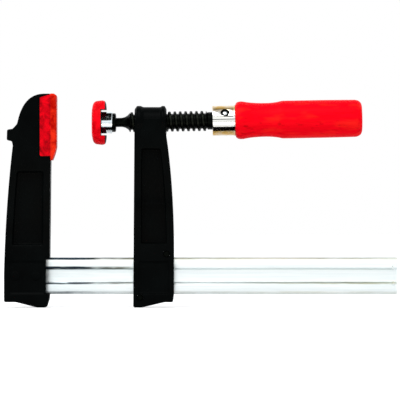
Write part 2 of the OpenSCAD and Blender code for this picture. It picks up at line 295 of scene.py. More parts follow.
def cut(piece, *others):
    for other in others:
        combine(piece, other, "DIFFERENCE")


def join(piece, *others):
    for other in others:
        combine(piece, other, "UNION")


def round_edges(piece, width, segments=3, angle=30):
    modify(
        piece, "BEVEL", width=width, segments=segments, limit_method="ANGLE",
        angle_limit=math.radians(angle), use_clamp_overlap=True,
    )


def clear_slivers(piece):
    """Takes out the needle-thin faces that cuts and bevels leave, under 3 microns across."""
    edit(piece)
    bpy.ops.mesh.select_all(action="SELECT")
    bpy.ops.mesh.remove_doubles(threshold=0.003)
    bpy.ops.mesh.dissolve_degenerate(threshold=0.003)


def cast(piece, grain, rounds):
    """Gives a piece the soft corners and fillets that a sand casting has."""
    modify(piece, "REMESH", mode="VOXEL", voxel_size=grain, adaptivity=0.0)
    modify(piece, "SMOOTH", factor=0.5, iterations=rounds)


def finished(piece, node, body, material, smooth=35):
    """Scales a piece to metres, and gives it its shading, finish and body, hiding the CAD node that it stands
    for.
    """
    only(piece)
    piece.matrix_world = Matrix.Diagonal((MM, MM, MM, 1))
    bpy.ops.object.transform_apply(location=True, rotation=True, scale=True)
    bpy.ops.object.shade_smooth_by_angle(angle=math.radians(smooth))
    piece.data.materials.clear()
    piece.data.materials.append(material)
    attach(piece, body)
    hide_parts(node)


# ---------- materials ----------


def colour(code):
    """The linear colour of an sRGB hex code."""
    parts = []
    for i in (0, 2, 4):
        value = int(code[i : i + 2], 16) / 255
        parts.append(value / 12.92 if value <= 0.04045 else ((value + 0.055) / 1.055) ** 2.4)
    return (*parts, 1.0)


def add(tree, kind, values=None, links=None, stops=(), **settings):
    """Adds a node with its settings, the values of its inputs, the links into them and its ramp's stops."""
    item = tree.nodes.new("ShaderNode" + kind)
    for key, value in settings.items():
        setattr(item, key, value)
    for i, (place, shade) in enumerate(stops):
        item.color_ramp.elements[i].position = place
        item.color_ramp.elements[i].color = shade
    for key, value in (values or {}).items():
        item.inputs[key].default_value = value
    for key, (source, output) in (links or {}).items():
        tree.links.new(source.outputs[output], item.inputs[key])
    return item


def new_material(name, **values):
    """A material with its shader's own values set."""
    made = bpy.data.materials.new(name)
    made.use_nodes = True
    shader = made.node_tree.nodes["Principled BSDF"]
    for key, value in values.items():
        shader.inputs[key.replace("_", " ")].default_value = value
    return made, made.node_tree, shader


def link(tree, source, output, shader, socket):
    tree.links.new(source.outputs[output], shader.inputs[socket])


def grey(value):
    return (value, value, value, 1.0)


def zinc_plated_bar():
    """Cold-drawn bar with bright zinc: a cool white metal with drawing lines along its length."""
    made, tree, shader = new_material("zinc_plated_bar", Metallic=1.0)
    place = add(tree, "TexCoord")
    # Drawing lines about 1.2 mm apart and 60 mm long; real ones are finer than the render shows.
    long = add(tree, "Mapping", {"Scale": (16, 830, 830)}, {"Vector": (place, "Object")})
    lines = add(
        tree, "TexNoise", {"Scale": 1.0, "Detail": 4.0, "Roughness": 0.6}, {"Vector": (long, "Vector")}
    )
    metal = add(
        tree, "ValToRGB", links={"Fac": (lines, "Fac")},
        stops=[(0.25, colour("E2ECEE")), (0.7, colour("F2F8F8"))],
    )
    split = add(tree, "SeparateXYZ", links={"Vector": (place, "Object")})
    # Dark lines in stretches about 20 mm long, along the groove's corners and the long edges: partly dried
    # oil and dust, partly painted shade where the edges turn from the light.
    smear = add(tree, "Mapping", {"Scale": (50, 300, 300)}, {"Vector": (place, "Object")})
    stretches = add(tree, "TexNoise", {"Scale": 1.0, "Detail": 3.0}, {"Vector": (smear, "Vector")})
    thick = add(
        tree, "MapRange", {"From Min": 0.3, "From Max": 0.55, "To Min": 0.3}, {"Value": (stretches, "Fac")}
    )
    # Each line's level, where it starts and stops changing along the bar, and its strength at both.
    upper, lower = RAIL_MID + GROOVE_MOUTH, RAIL_MID - GROOVE_MOUTH + 0.6
    dirt_and_shade_lines = [
        (RAIL_TOP - 0.5, 30, 150, 0.95, 0.35), (upper, 45, 70, 1.0, 0.0),
        (lower, 45, 75, 0.85, 0.0), (lower, 130, 200, 0.0, 0.65),
        (RAIL_BOTTOM + 1.1, 30, 90, 0.35, 0.25),
    ]
    dirt_and_shade = None
    for level, first, last, near, far in dirt_and_shade_lines:
        above = add(tree, "Math", {1: level * MM}, {0: (split, "Z")}, operation="SUBTRACT")
        away = add(tree, "Math", links={0: (above, "Value")}, operation="ABSOLUTE")
        line = add(
            tree, "MapRange", {"From Min": 0.0005, "From Max": 0.0015, "To Min": 1.0, "To Max": 0.0},
            {"Value": (away, "Value")},
        )
        along = add(
            tree, "MapRange", {"From Min": first * MM, "From Max": last * MM, "To Min": near, "To Max": far},
            {"Value": (split, "X")},
        )
        more = add(tree, "Math", links={0: (line, "Result"), 1: (along, "Result")}, operation="MULTIPLY")
        if dirt_and_shade is None:
            dirt_and_shade = more
        else:
            dirt_and_shade = add(tree, "Math", links={0: (dirt_and_shade, "Value"), 1: (more, "Value")}, operation="ADD")
    # The lines are kept off the middle of the bar's top and bottom faces.
    out = add(tree, "Math", links={0: (split, "Y")}, operation="ABSOLUTE")
    side = add(tree, "MapRange", {"From Min": 0.004, "From Max": 0.0055}, {"Value": (out, "Value")})
    kept = add(tree, "Math", links={0: (thick, "Result"), 1: (side, "Result")}, operation="MULTIPLY")
    # The lines are darkest beside the fixed jaw: painted shade, where the jaw shadows the rail.
    # Painted shade: this makes the lines darker close to the fixed jaw.
    corner = add(
        tree, "MapRange", {"From Min": 0.008, "From Max": 0.03, "To Min": 2.2, "To Max": 1.0},
        {"Value": (split, "X")},
    )
    shade_by_jaw = add(tree, "Math", links={0: (kept, "Value"), 1: (corner, "Result")}, operation="MULTIPLY")
    # How dark the lines of dirt and painted shade are, point by point.
    dirt_and_shade_amount = add(tree, "Math", links={0: (dirt_and_shade, "Value"), 1: (shade_by_jaw, "Value")}, operation="MULTIPLY")
    # It is grey near the jaws and yellower towards the free end.
    oil = add(tree, "MapRange", {"From Min": 0.02, "From Max": 0.16}, {"Value": (split, "X")})
    stain = add(
        tree, "ValToRGB", links={"Fac": (oil, "Result")},
        stops=[(0.0, colour("28323A")), (1.0, colour("98923A"))],
    )
    tone = add(
        tree, "Mix", links={0: (dirt_and_shade_amount, "Value"), 6: (metal, "Color"), 7: (stain, "Color")}, data_type="RGBA"
    )
    link(tree, tone, 2, shader, "Base Color")
    rough = add(tree, "ValToRGB", links={"Fac": (lines, "Fac")}, stops=[(0.3, grey(0.28)), (0.7, grey(0.45))])
    link(tree, rough, "Color", shader, "Roughness")
    bump = add(tree, "Bump", {"Strength": 0.3, "Distance": 0.00003}, {"Height": (lines, "Fac")})
    link(tree, bump, "Normal", shader, "Normal")
    return made


def black_enamel_iron():
    """Malleable iron dipped in black enamel: near black, with the casting's skin showing in the gloss."""
    made, tree, shader = new_material("black_enamel_iron", Metallic=0.0, Specular_IOR_Level=0.02)
    place = add(tree, "TexCoord")
    # The skin of a sand casting: lumps about 1.6 mm across, with grit of 0.5 mm.
    skin = add(
        tree, "TexNoise", {"Scale": 620.0, "Detail": 5.0, "Roughness": 0.62}, {"Vector": (place, "Object")}
    )
    # Enamel gathers in pools about 17 mm across, darker and glossier than the thinner coat round them.
    pools = add(tree, "TexNoise", {"Scale": 60.0, "Detail": 2.0}, {"Vector": (place, "Object")})
    tone = add(
        tree, "ValToRGB", links={"Fac": (pools, "Fac")},
        stops=[(0.3, colour("010202")), (0.7, colour("030505"))],
    )
    link(tree, tone, "Color", shader, "Base Color")
    rough = add(tree, "ValToRGB", links={"Fac": (pools, "Fac")}, stops=[(0.3, grey(0.32)), (0.7, grey(0.45))])
    link(tree, rough, "Color", shader, "Roughness")
    bump = add(tree, "Bump", {"Strength": 0.35, "Distance": 0.00008}, {"Height": (skin, "Fac")})
    link(tree, bump, "Normal", shader, "Normal")
    return made


def black_oxide_steel():
    """Rolled steel with black oxide: dark oiled metal, rubbed a little brighter on the thread's crests."""
    made, tree, shader = new_material("black_oxide_steel", Metallic=1.0)
    place = add(tree, "TexCoord")
    # Lined up with the spindle's axis, so that Y and Z give the distance from it.
    centred = add(tree, "Mapping", {"Location": -BALL * MM}, {"Vector": (place, "Object")})
    turned_back = add(tree, "Mapping", {"Rotation": (0, CANT, 0)}, {"Vector": (centred, "Vector")})
    split = add(tree, "SeparateXYZ", links={"Vector": (turned_back, "Vector")})
    across = add(tree, "CombineXYZ", links={"Y": (split, "Y"), "Z": (split, "Z")})
    radius = add(tree, "VectorMath", links={0: (across, "Vector")}, operation="LENGTH")
    crest = add(tree, "Math", {1: THREAD_R * MM, 2: 0.25 * MM}, {0: (radius, "Value")}, operation="COMPARE")
    # Scuffs 1.4 mm across
    scuffs = add(tree, "TexNoise", {"Scale": 700.0, "Detail": 4.0}, {"Vector": (place, "Object")})
    patchy = add(
        tree, "MapRange", {"From Min": 0.3, "From Max": 0.7, "To Min": 0.3, "To Max": 0.8},
        {"Value": (scuffs, "Fac")},
    )
    worn = add(tree, "Math", links={0: (crest, "Value"), 1: (patchy, "Result")}, operation="MULTIPLY")
    tone = add(
        tree, "ValToRGB", links={"Fac": (worn, "Value")},
        stops=[(0.0, colour("080A08")), (1.0, colour("1C1F1A"))],
    )
    link(tree, tone, "Color", shader, "Base Color")
    rough = add(
        tree, "ValToRGB", links={"Fac": (scuffs, "Fac")}, stops=[(0.3, grey(0.28)), (0.7, grey(0.42))]
    )
    link(tree, rough, "Color", shader, "Roughness")
    bump = add(tree, "Bump", {"Strength": 0.15, "Distance": 0.00002}, {"Height": (scuffs, "Fac")})
    link(tree, bump, "Normal", shader, "Normal")
    return made


def bright_plated_steel():
    """Turned steel with nickel plating: a clean mirror, with faint turning rings."""
    made, tree, shader = new_material("bright_plated_steel", Metallic=1.0)
    place = add(tree, "TexCoord")
    # Turning rings 0.6 mm apart along the axis; real ones are closer than the render shows.
    rings = add(tree, "Mapping", {"Scale": (1700, 20, 20)}, {"Vector": (place, "Object")})
    lines = add(tree, "TexNoise", {"Scale": 1.0, "Detail": 3.0}, {"Vector": (rings, "Vector")})
    tone = add(
        tree, "ValToRGB", links={"Fac": (lines, "Fac")},
        stops=[(0.3, colour("D3DEE2")), (0.7, colour("EEF4F6"))],
    )
    link(tree, tone, "Color", shader, "Base Color")
    rough = add(tree, "ValToRGB", links={"Fac": (lines, "Fac")}, stops=[(0.3, grey(0.05)), (0.7, grey(0.14))])
    link(tree, rough, "Color", shader, "Roughness")
    bump = add(tree, "Bump", {"Strength": 0.1, "Distance": 0.00002}, {"Height": (lines, "Fac")})
    link(tree, bump, "Normal", shader, "Normal")
    return made


def yellow_zinc_sheet():
    """Rolled sheet steel with yellow-passivated zinc: silvery, with a straw colour painted strongest at its
    top and bottom.
    """
    made, tree, shader = new_material("yellow_zinc_sheet", Metallic=1.0)
    place = add(tree, "TexCoord")
    # Rolling lines run round the ferrule, about 0.8 mm apart.
    round_it = add(tree, "Mapping", {"Scale": (1250, 60, 60)}, {"Vector": (place, "Object")})
    lines = add(tree, "TexNoise", {"Scale": 1.0, "Detail": 3.0}, {"Vector": (round_it, "Vector")})
    # The straw film shows in clouds 7 mm across, painted strongest towards the ferrule's top and bottom: a
    # painted reflection of the gold that its glancing edges show.
    split = add(tree, "SeparateXYZ", links={"Vector": (place, "Object")})
    level = (PIN_AT * math.sin(CANT)) * MM
    above = add(tree, "Math", {1: level}, {0: (split, "Z")}, operation="SUBTRACT")
    height = add(tree, "Math", links={0: (above, "Value")}, operation="ABSOLUTE")
    outer = add(tree, "MapRange", {"From Min": 0.005, "From Max": 0.009}, {"Value": (height, "Value")})
    clouds = add(tree, "TexNoise", {"Scale": 150.0, "Detail": 2.0}, {"Vector": (place, "Object")})
    straw_film_and_reflection = add(tree, "Math", links={0: (outer, "Result"), 1: (clouds, "Fac")}, operation="MULTIPLY")
    tone = add(
        tree, "ValToRGB", links={"Fac": (straw_film_and_reflection, "Value")},
        stops=[(0.1, colour("F4F3EC")), (0.5, colour("D9B060"))],
    )
    link(tree, tone, "Color", shader, "Base Color")
    rough = add(tree, "ValToRGB", links={"Fac": (lines, "Fac")}, stops=[(0.3, grey(0.07)), (0.7, grey(0.15))])
    link(tree, rough, "Color", shader, "Roughness")
    bump = add(tree, "Bump", {"Strength": 0.15, "Distance": 0.00002}, {"Height": (lines, "Fac")})
    link(tree, bump, "Normal", shader, "Normal")
    return made


def moulded_plastic(name, deep, light):
    """Soft moulded plastic: saturated colour with a fine spark-eroded texture from the mould."""
    made, tree, shader = new_material(name, Metallic=0.0, IOR=1.5, Specular_IOR_Level=0.02)
    place = add(tree, "TexCoord")
    # Mould texture with pits of 0.6 mm
    pits = add(tree, "TexNoise", {"Scale": 1600.0, "Detail": 2.0}, {"Vector": (place, "Object")})
    # Pigment drifts as the mould fills, in clouds 6 mm across.
    flow = add(
        tree, "TexNoise", {"Scale": 170.0, "Detail": 3.0, "Distortion": 0.8}, {"Vector": (place, "Object")}
    )
    tone = add(
        tree, "ValToRGB", links={"Fac": (flow, "Fac")}, stops=[(0.33, colour(deep)), (0.62, colour(light))]
    )
    link(tree, tone, "Color", shader, "Base Color")
    rough = add(tree, "ValToRGB", links={"Fac": (flow, "Fac")}, stops=[(0.3, grey(0.36)), (0.7, grey(0.48))])
    link(tree, rough, "Color", shader, "Roughness")
    bump = add(tree, "Bump", {"Strength": 0.25, "Distance": 0.00004}, {"Height": (pits, "Fac")})
    link(tree, bump, "Normal", shader, "Normal")
    return made


def red_lacquered_beech():
    """Turned beech under red lacquer: the grain shows as fine lines in a satin, opaque red."""
    made, tree, shader = new_material(
        "red_lacquered_beech", Metallic=0.0, Roughness=0.36, IOR=1.5, Specular_IOR_Level=0.018
    )
    place = add(tree, "TexCoord")
    # Pores and grain run along the handle: 1 mm apart and about 20 mm long.
    along = add(tree, "Mapping", {"Scale": (50, 1000, 1000)}, {"Vector": (place, "Object")})
    grain = add(
        tree, "TexNoise", {"Scale": 1.0, "Detail": 5.0, "Roughness": 0.55}, {"Vector": (along, "Vector")}
    )
    # Darker flecks, a few millimetres long
    fleck_place = add(tree, "Mapping", {"Scale": (150, 420, 420)}, {"Vector": (place, "Object")})
    flecks = add(tree, "TexNoise", {"Scale": 1.0, "Detail": 3.0}, {"Vector": (fleck_place, "Vector")})
    # They gather low down near the ferrule.
    split = add(tree, "SeparateXYZ", links={"Vector": (place, "Object")})
    low = add(tree, "MapRange", {"From Min": 0.002, "From Max": -0.009}, {"Value": (split, "Z")})
    near = add(
        tree, "MapRange", {"From Min": HANDLE_START * MM + 0.08, "From Max": HANDLE_START * MM + 0.04},
        {"Value": (split, "X")},
    )
    low_near_ferrule = add(tree, "Math", links={0: (low, "Result"), 1: (near, "Result")}, operation="MULTIPLY")
    fleck_darkening = add(tree, "Math", {1: 0.14}, {0: (low_near_ferrule, "Value"), 2: (flecks, "Fac")}, operation="MULTIPLY_ADD")
    red = add(
        tree, "ValToRGB", links={"Fac": (grain, "Fac")},
        stops=[(0.3, colour("E60010")), (0.7, colour("F60118"))],
    )
    shade = add(
        tree, "ValToRGB", links={"Fac": (fleck_darkening, "Value")}, stops=[(0.6, grey(1.0)), (0.8, colour("B88080"))]
    )
    # The paler wood shows through more orange where the lacquer is thin, in streaks 20 mm long.
    streak_place = add(tree, "Mapping", {"Scale": (50, 170, 170)}, {"Vector": (place, "Object")})
    streaks = add(tree, "TexNoise", {"Scale": 1.0, "Detail": 3.0}, {"Vector": (streak_place, "Vector")})
    thin = add(
        tree, "MapRange", {"From Min": 0.5, "From Max": 0.72, "To Max": 0.7}, {"Value": (streaks, "Fac")}
    )
    warm = add(
        tree, "Mix", {7: colour("F82418")}, {0: (thin, "Result"), 6: (red, "Color")}, data_type="RGBA"
    )
    both = add(
        tree, "Mix", {0: 0.8}, {6: (warm, 2), 7: (shade, "Color")}, data_type="RGBA", blend_type="MULTIPLY"
    )
    link(tree, both, 2, shader, "Base Color")
    bump = add(tree, "Bump", {"Strength": 0.3, "Distance": 0.00008}, {"Height": (grain, "Fac")})
    link(tree, bump, "Normal", shader, "Normal")
    return made


bar = zinc_plated_bar()
enamel = black_enamel_iron()
oxide = black_oxide_steel()
bright = bright_plated_steel()
straw = yellow_zinc_sheet()
# A darker copy of the red plastic: painted shade for the fixed jaw's pad.
pad_red_painted_shade = moulded_plastic("red_plastic_painted_shade", "8C0009", "DC0214")
# A more orange copy of the red plastic: painted sheen for the pad's working face.
pad_face_red_painted_sheen = moulded_plastic("red_plastic_painted_sheen", "A40400", "E22A10")
cherry = moulded_plastic("moulded_cherry_plastic", "BC000A", "F00416")
# A dark copy of the red plastic: painted shade for the pressure cap's lips and channel.
cap_red_painted_shade = moulded_plastic("red_plastic_painted_deep_shade", "2A0009", "460010")
lacquer = red_lacquered_beech()

# ---------- rail ----------


def rail_outline():
    """The rail's cross-section as (y, z) points, grooved on both sides."""
    right = [
        (RAIL_HALF_T, RAIL_BOTTOM, RAIL_EDGE),
        (RAIL_HALF_T, RAIL_MID - GROOVE_MOUTH, 0.35),
        (RAIL_HALF_T - GROOVE_DEPTH, RAIL_MID - GROOVE_FLOOR, 0.5),
        (RAIL_HALF_T - GROOVE_DEPTH, RAIL_MID + GROOVE_FLOOR, 0.5),
        (RAIL_HALF_T, RAIL_MID + GROOVE_MOUTH, 0.35),
        (RAIL_HALF_T, RAIL_TOP, RAIL_EDGE),
    ]
    left = [(-y, z, radius) for y, z, radius in reversed(right)]
    return rounded(right + left, 4)


def make_rail():
    end = rail_high.x
    rail = slab("rail_bar", rail_outline(), rail_low.x, end, "yz")
    # Both sawn ends have their burr filed off; the long edges are already round.
    round_edges(rail, 0.3, 2, 60)
    # Stakes raised by a punch, with the punch mark in each
    height = RAIL_HALF_T + 0.85
    for side in (-1, 1):
        for level in (-1, 1):
            stake = turned(
                "stake", [(5.0, 0), (5.0, 1.5), (RAIL_HALF_T, 1.5)]
                + curve((RAIL_HALF_T + 0.3, 1.4), (height, 1.2), (height, 0.6), 4)
                + [(height - 0.35, 0.2), (height - 0.4, 0)], 24,
            )
            corner = RAIL_MID + level * (GROOVE_MOUTH + 0.1)
            move(stake, lying_across(end - 2.6, corner, side * math.pi / 2))
            join(rail, stake)
    clear_slivers(rail)
    finished(rail, "rail", "fixed_frame", bar)
    # The end that sits in the fixed jaw was dipped in enamel with it.
    paint(rail, enamel, lambda centre: centre.x < (rail_low.x + 0.5) * MM)


# ---------- castings ----------


def sunk_panel(piece, low, high, rim, depth):
    """Sinks a panel into both sides of a casting, between two levels and inside a rim."""
    for level in (low, high):
        edit(piece, "FACE")
        bpy.ops.mesh.select_all(action="SELECT")
        bpy.ops.mesh.bisect(plane_co=(0, 0, level), plane_no=(0, 0, 1))
    pick_faces(piece, lambda centre, normal: abs(normal.y) > 0.9 and low < centre.z < high)
    bpy.ops.mesh.inset(thickness=rim, use_individual=True)
    bpy.ops.mesh.extrude_region_shrink_fatten(TRANSFORM_OT_shrink_fatten={"value": -depth})
    bpy.ops.mesh.inset(thickness=0.01)
    bpy.ops.object.mode_set(mode="OBJECT")


def jaw_outline():
    """The fixed jaw from the side: its foot, front, head, hammer lug and curved back."""
    back = jaw_low.x
    front = HEAD_FRONT
    front_low = back + JAW_FOOT_WIDTH
    crown = jaw_high.z
    head_back = back + 10.4
    lug = back + 2.3
    spine_top = (back + 6.5, -17)
    spine_foot = (back, -112)
    spine = curve(spine_top, (back + 1.4, -60), spine_foot, 16)
    corners = [
        (back, HEEL, 1.2), (back + 9, HEEL, 1.5), (front_low - 9, FOOT, 2),
        (front_low - 2.5, FOOT, 1.6), (front_low - 0.5, FOOT + 6, 1), (front_low, RAIL_BOTTOM + 1, 0),
        (front_low, RAIL_TOP, 0), (front, pad_low.z, 0), (front, crown, 0.8),
    ]
    points = rounded([(*spine_foot, 0)] + corners + [(front - 4.7, crown, 0)])[1:-1]
    points += curve((front - 4.7, crown), (head_back + 4.6, crown), (head_back, 2), 20)
    points += rounded(
        [(head_back, 2, 0), (head_back - 0.8, -1.2, 2), (lug + 4, -4.8, 1.5), (lug, -5.2, 1.3),
         (lug - 0.3, -13.3, 1.3), (lug + 3.4, -13.6, 1.4), (*spine_top, 0)],
    )[1:-1]
    return points + spine


def make_fixed_jaw():
    front_low = jaw_low.x + JAW_FOOT_WIDTH
    jaw = slab("jaw_casting", jaw_outline(), -CASTING_HALF, CASTING_HALF)
    sunk_panel(jaw, -96, -31, RIM, CASTING_HALF - WEB_HALF)
    sunk_panel(jaw, RAIL_BOTTOM - 3.5, RAIL_TOP + 1, 4.0, PANEL_DEPTH)
    cast(jaw, 0.5, 6)
    slot = block("slot", (-60, 10), (-RAIL_HALF_T, RAIL_HALF_T), (RAIL_BOTTOM, RAIL_TOP))
    notch = block("notch", (front_low - NOTCH, 10), (-20, 20), (RAIL_BOTTOM, RAIL_TOP))
    cut(jaw, slot, notch)
    finished(jaw, "fixed_jaw", "fixed_frame", enamel)


def make_rivet(node):
    """A rivet across the fixed jaw, its heads hammered to low domes and enamelled over."""
    half = CASTING_HALF - PANEL_DEPTH
    head = [(half, 3.7)] + curve((half + 0.25, 3.5), (half + 0.5, 2.4), (half + 0.5, 0), 6)
    other = [(-u, radius) for u, radius in reversed(head)]
    rivet = turned(node + "_heads", other + [(-half, 3.7), (-half + 1.2, 2.5), (half - 1.2, 2.5)] + head, 40)
    move(rivet, lying_across(middle_of(node)[0], RAIL_MID))
    finished(rivet, node, "fixed_frame", enamel)


def arm_outline():
    """The sliding arm from the side, up into its boss."""
    front, back = BOSS_START, arm_high.x
    front_low = arm_low.x
    shoulder = BOSS_START + BOSS_LENGTH
    corners = [
        (front_low, FOOT, 1.6), (front_low + 6, FOOT, 2), (back - 7, HEEL, 2),
        (back - 0.7, HEEL, 1.4), (back, RAIL_BOTTOM, 0.5),
    ]
    points = rounded([(front, BOSS_Z + 2, 0)] + corners + [(shoulder - 0.4, BOSS_Z + 2, 0)])[1:-1]
    points += curve((back, -89), (back - 0.6, -43), (shoulder - 0.2, BOSS_Z - BOSS_R + 1), 16)
    return [(front, BOSS_Z + 2)] + points + [(shoulder - 0.4, BOSS_Z + 2)]


def make_sliding_arm():
    arm = slab("arm_casting", arm_outline(), -CASTING_HALF, CASTING_HALF)
    sunk_panel(arm, -95, -14, RIM, CASTING_HALF - WEB_HALF)
    sunk_panel(arm, RAIL_BOTTOM - 3.5, RAIL_TOP + 1, 4.0, PANEL_DEPTH)
    ring = BOSS_R + 0.9
    boss = turned(
        "boss",
        [(0, 0), (0, BOSS_R - 1.6), (1.8, ring), (4.6, ring), (6.4, BOSS_R), (BOSS_LENGTH - 4.4, BOSS_R),
         (BOSS_LENGTH - 3.6, ring), (BOSS_LENGTH - 1.4, ring), (BOSS_LENGTH, BOSS_R - 1.6), (BOSS_LENGTH, 0)],
        72,
    )
    move(boss, Matrix.Translation((BOSS_START, 0, BOSS_Z)))
    join(arm, boss)
    cast(arm, 0.45, 5)
    slot_half = RAIL_HALF_T + SLIDE_FIT
    slot = block(
        "slot", (arm_low.x - 5, arm_high.x + 5), (-slot_half, slot_half),
        (RAIL_BOTTOM - SLOT_FIT, RAIL_TOP + SLOT_FIT),
    )
    # The bore is drilled along the canted axis and countersunk at both ends.
    near, far = BOSS_START - BALL.x, BOSS_START + BOSS_LENGTH - BALL.x
    bore_r = THREAD_R + 0.08
    bore = turned(
        "bore",
        [(near - 3, 0), (near - 3, bore_r + 4), (near + 1, bore_r),
         (far - 1, bore_r), (far + 3, bore_r + 4), (far + 3, 0)],
    )
    move(bore, ON_SPINDLE)
    cut(arm, slot, bore)
    for node in ("grip_pin_upper", "grip_pin_lower"):
        hole = turned("hole", [(-20, 0), (-20, 2.55), (20, 2.55), (20, 0)], 40)
        move(hole, lying_across(*middle_of(node)))
        cut(arm, hole)
    finished(arm, "sliding_arm", "sliding_arm", enamel)


def make_grip_pin(node):
    """A hardened pin across the arm, with chamfered ends."""
    low, high = box_mm(node)
    half, radius = high.y, (high.x - low.x) / 2
    pin = turned(
        node + "_steel",
        [(-half, 0), (-half, radius - 0.5), (-half + 0.5, radius),
         (half - 0.5, radius), (half, radius - 0.5), (half, 0)],
        40,
    )
    move(pin, lying_across(*middle_of(node)))
    finished(pin, node, "sliding_arm", oxide)


# ---------- pads ----------


def make_fixed_jaw_cap():
    half, wall = pad_high.y, 1.8
    top, bottom, back, front = pad_high.z, pad_low.z, pad_low.x, HEAD_FRONT
    plate_outline = [(front, bottom), (front + 1.2, bottom)]
    plate_outline += curve((front + 1.2, bottom), (-0.6, bottom + 6), (0, bottom + 10.5), 8)[1:]
    plate_outline += curve((0, top - 3.4), (0, top), (-2.6, top), 8) + [(front, top)]
    pad = slab("jaw_pad", plate_outline, -half, half)
    # The working face's long edges are rounded off towards the sides.
    corners = [(front, -half, 0), (0, -half, 1.6), (0, half, 1.6), (front, half, 0)]
    across = slab("across", rounded(corners), bottom - 1, top + 1)
    move(across, Matrix.Rotation(math.pi / 2, 4, "X"))
    combine(pad, across, "INTERSECT")
    for side in (-1, 1):
        inner, outer = sorted((side * CASTING_HALF, side * (CASTING_HALF + wall)))
        outline = rounded([
            (back, bottom + 3, 1.2), (front + 1, bottom + 3, 0),
            (front + 1, top - 0.3, 0), (back, top - 2.8, 1.2),
        ])
        join(pad, slab("wall", outline, inner, outer))
    round_edges(pad, 0.55, 4)
    # The pad's clip takes the darker copy of the red plastic, which is painted shade.
    finished(pad, "fixed_jaw_cap", "fixed_frame", pad_red_painted_shade)
    # The working face is painted a more orange red than the clip behind it: a painted sheen for its rounded
    # front.
    paint(pad, pad_face_red_painted_sheen, lambda centre: centre.x > (front + 0.1) * MM)


def make_pressure_cap():
    radius, front, back = cap_high.z, cap_low.x - BALL.x, DISC_BACK
    lip = CHANNEL_HALF - 2
    profile = [(front, 0), (front, 9.5)]
    profile += curve(
        (front + 0.4, radius - 4.9), (front + 0.9, radius - 1.2), (front + 3.4, radius - 0.5), 10
    )
    profile += [(front + 6.4, radius - 0.1), (front + 7.9, radius), (front + 9.4, radius - 0.4)]
    profile += curve(
        (front + 9.4, radius - 0.4), (front + 10.6, radius - 1.2), (front + 10.9, radius - 4.9), 8
    )[1:]
    profile += [
        (front + 11.05, lip + 1), (front + 10.4, lip), (back, lip),
        (back, 14), (front + 2, 14), (front + 2, 0),
    ]
    cap = turned("plate_pad", profile, 128)
    move(cap, Matrix.Translation(BALL))
    low, high = BALL.x + back - 0.2, BALL.x + 8
    cut(cap, block("channel", (low, high), (-30, 30), (-CHANNEL_HALF, CHANNEL_HALF)))
    round_edges(cap, 0.3, 3, 40)
    finished(cap, "pressure_cap", "pressure_plate", cherry)
    # The lips' ends and the channel between them are painted shade: a dark maroon copy of the red plastic.
    end = BALL.x + front + 9.7
    in_channel = CHANNEL_HALF + 0.35

    def dark(centre):
        across = abs(centre.z) < in_channel * MM and centre.x > low * MM
        return centre.x > end * MM or across

    paint(cap, cap_red_painted_shade, dark)


def make_pressure_plate():
    back, collar, disc = DISC_BACK, COLLAR_R, DISC_R
    mouth, lip = NECK_R + 1.5, 3.7
    profile = [
        (DISC_FRONT, 0), (DISC_FRONT, disc - 0.8), (DISC_FRONT + 0.8, disc),
        (back - 0.8, disc), (back, disc - 0.8), (back, collar + 0.4),
    ]
    profile += curve((back, collar + 0.4), (back, collar), (back + 0.4, collar), 5)[1:]
    # The collar's end is stepped down and crimped in over the ball, with a soft roll at the mouth.
    profile += curve((lip - 0.5, collar), (lip, collar), (lip, collar - 0.5), 4) + [(lip, collar - 1.0)]
    end = COLLAR_END
    profile += curve((end - 1, collar - 1.0), (end, collar - 1.2), (end, mouth + 0.4), 8)
    profile += curve((end, mouth + 0.4), (end, mouth), (end - 0.4, mouth), 4)[1:]
    socket = BALL_R + 0.15
    reach = math.sqrt(socket**2 - mouth**2)
    steps = 14
    start = math.atan2(mouth, reach)
    for i in range(steps + 1):
        angle = start + (math.pi - start) * i / steps
        profile.append((socket * math.cos(angle), socket * math.sin(angle)))
    plate = turned("swivel_plate", profile, 96)
    move(plate, Matrix.Translation(BALL))
    finished(plate, "pressure_plate", "pressure_plate", bright)
    # The crimped lip and the disc behind the collar's base are painted black: a painted dark reflection of
    # the black arm on the lip, and painted shade at the collar's base.
    first, last = BALL.x + back + 0.7, BALL.x + lip - 0.02
    paint(plate, oxide, lambda centre: not first * MM < centre.x < last * MM)


# ---------- spindle and handle ----------


def thread_rod(low, high):
    """A right-hand thread: one pitch of its outline screwed along the axis and cut off square."""
    flank = THREAD_DEPTH * math.tan(math.radians(15))
    flat = (PITCH - 2 * flank) / 2
    root = THREAD_R - THREAD_DEPTH
    outline = [
        (0, root), (flat - 0.15, root), (flat + 0.05, root + 0.2),
        (flat + flank - 0.05, THREAD_R - 0.2), (flat + flank + 0.2, THREAD_R),
        (2 * flat + flank - 0.2, THREAD_R), (2 * flat + flank + 0.05, THREAD_R - 0.2),
        (PITCH - 0.05, root + 0.2), (PITCH, root),
    ]
    rod = trace("thread", outline)
    turns = math.ceil((high - low) / PITCH) + 2
    modify(
        rod, "SCREW", axis="X", angle=2 * math.pi, screw_offset=PITCH, iterations=turns,
        steps=56, render_steps=56, use_merge_vertices=False,
    )
    edit(rod)
    bpy.ops.mesh.select_all(action="SELECT")
    bpy.ops.mesh.remove_doubles(threshold=0.002)
    bpy.ops.transform.translate(value=(low - 1.2 * PITCH, 0, 0))
    for end, inner in ((low, True), (high, False)):
        bpy.ops.mesh.select_all(action="SELECT")
        bpy.ops.mesh.bisect(
            plane_co=(end, 0, 0), plane_no=(1, 0, 0), use_fill=True, clear_inner=inner, clear_outer=not inner
        )
    outwards()
    return rod


